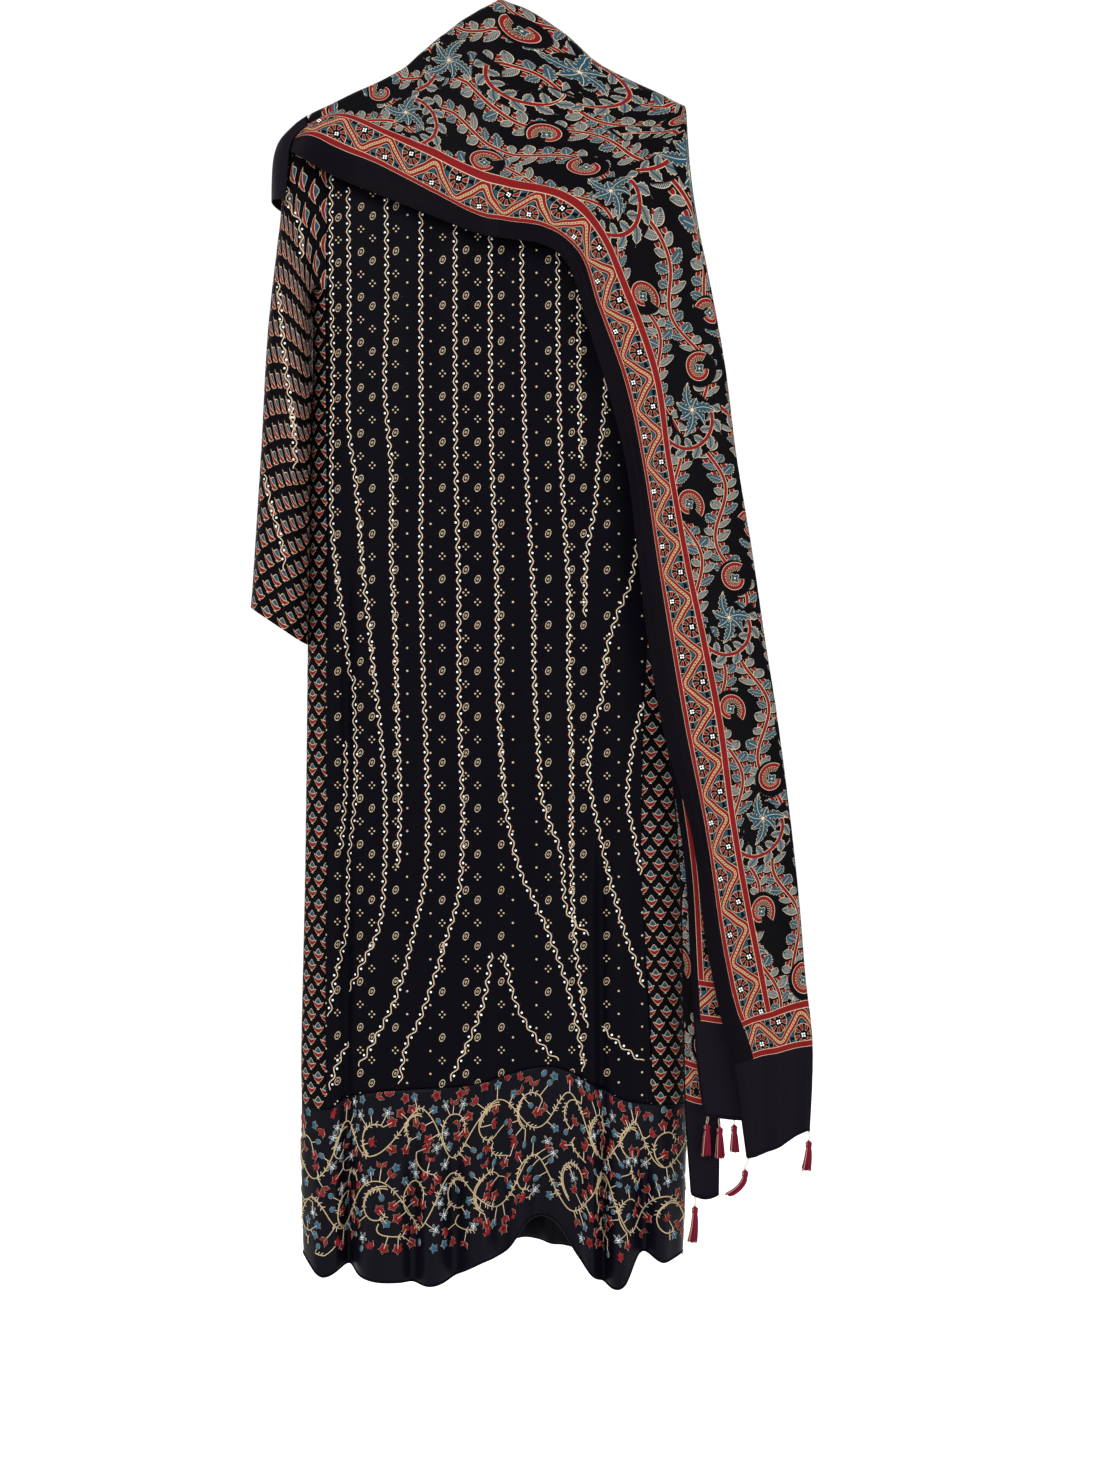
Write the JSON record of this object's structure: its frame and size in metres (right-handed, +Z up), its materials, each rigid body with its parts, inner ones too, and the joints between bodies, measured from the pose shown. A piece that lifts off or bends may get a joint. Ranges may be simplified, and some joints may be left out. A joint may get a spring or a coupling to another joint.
{
  "type": "salwar suit on a hanger",
  "caption": "Ankle-length printed kurta with gathered embroidered hem band and a long tasselled dupatta over its shoulders, on a plastic hanger.",
  "frame": {"origin": "where a rail carries the crown of the hanger's hook", "axes": "+Z up along the hook, -Y out of the garment's front, +X to the viewer's right, the side that the dupatta falls on"},
  "size_m": [0.591, 0.1617, 1.4422],
  "materials": {
    "black_silk": "soft satin silk, block printed in cream",
    "printed_silk": "soft satin silk with a small all-over bud print",
    "band_silk": "soft satin silk, embroidered in thread, beads and sequins",
    "dupatta_silk": "light silk, printed in red, blue, black and cream, with a plain black edge",
    "tassel_thread": "loose twisted thread",
    "blue_plastic": "moulded, slightly glossy"
  },
  "bodies": {
    "root": {"kurta_front_lower": "black_silk", "kurta_front_upper": "black_silk", "kurta_back_lower": "black_silk", "kurta_back_upper": "black_silk", "kurta_side_left_front_lower": "printed_silk", "kurta_side_left_front_upper": "printed_silk", "kurta_side_left_back_lower": "printed_silk", "kurta_side_left_back_upper": "printed_silk", "kurta_side_right_front_lower": "printed_silk", "kurta_side_right_front_upper": "printed_silk", "kurta_side_right_back_lower": "printed_silk", "kurta_side_right_back_upper": "printed_silk", "sleeve_left": "printed_silk", "sleeve_right": "printed_silk", "hem_band_front": "band_silk", "hem_band_back": "band_silk", "dupatta_front": "dupatta_silk", "dupatta_chest": "dupatta_silk", "dupatta_back_right": "dupatta_silk", "dupatta_back_middle": "dupatta_silk", "dupatta_back_left": "dupatta_silk", "dupatta_turn": "dupatta_silk", "dupatta_second_fall": "dupatta_silk", "dupatta_third_fall": "dupatta_silk", "tassel_third_fall": "tassel_thread", "tassel_second_left": "tassel_thread", "tassel_second_middle": "tassel_thread", "tassel_second_right": "tassel_thread", "tassel_end_left": "tassel_thread", "tassel_end_right": "tassel_thread", "hanger": "blue_plastic"}
  },
  "joints": []
}
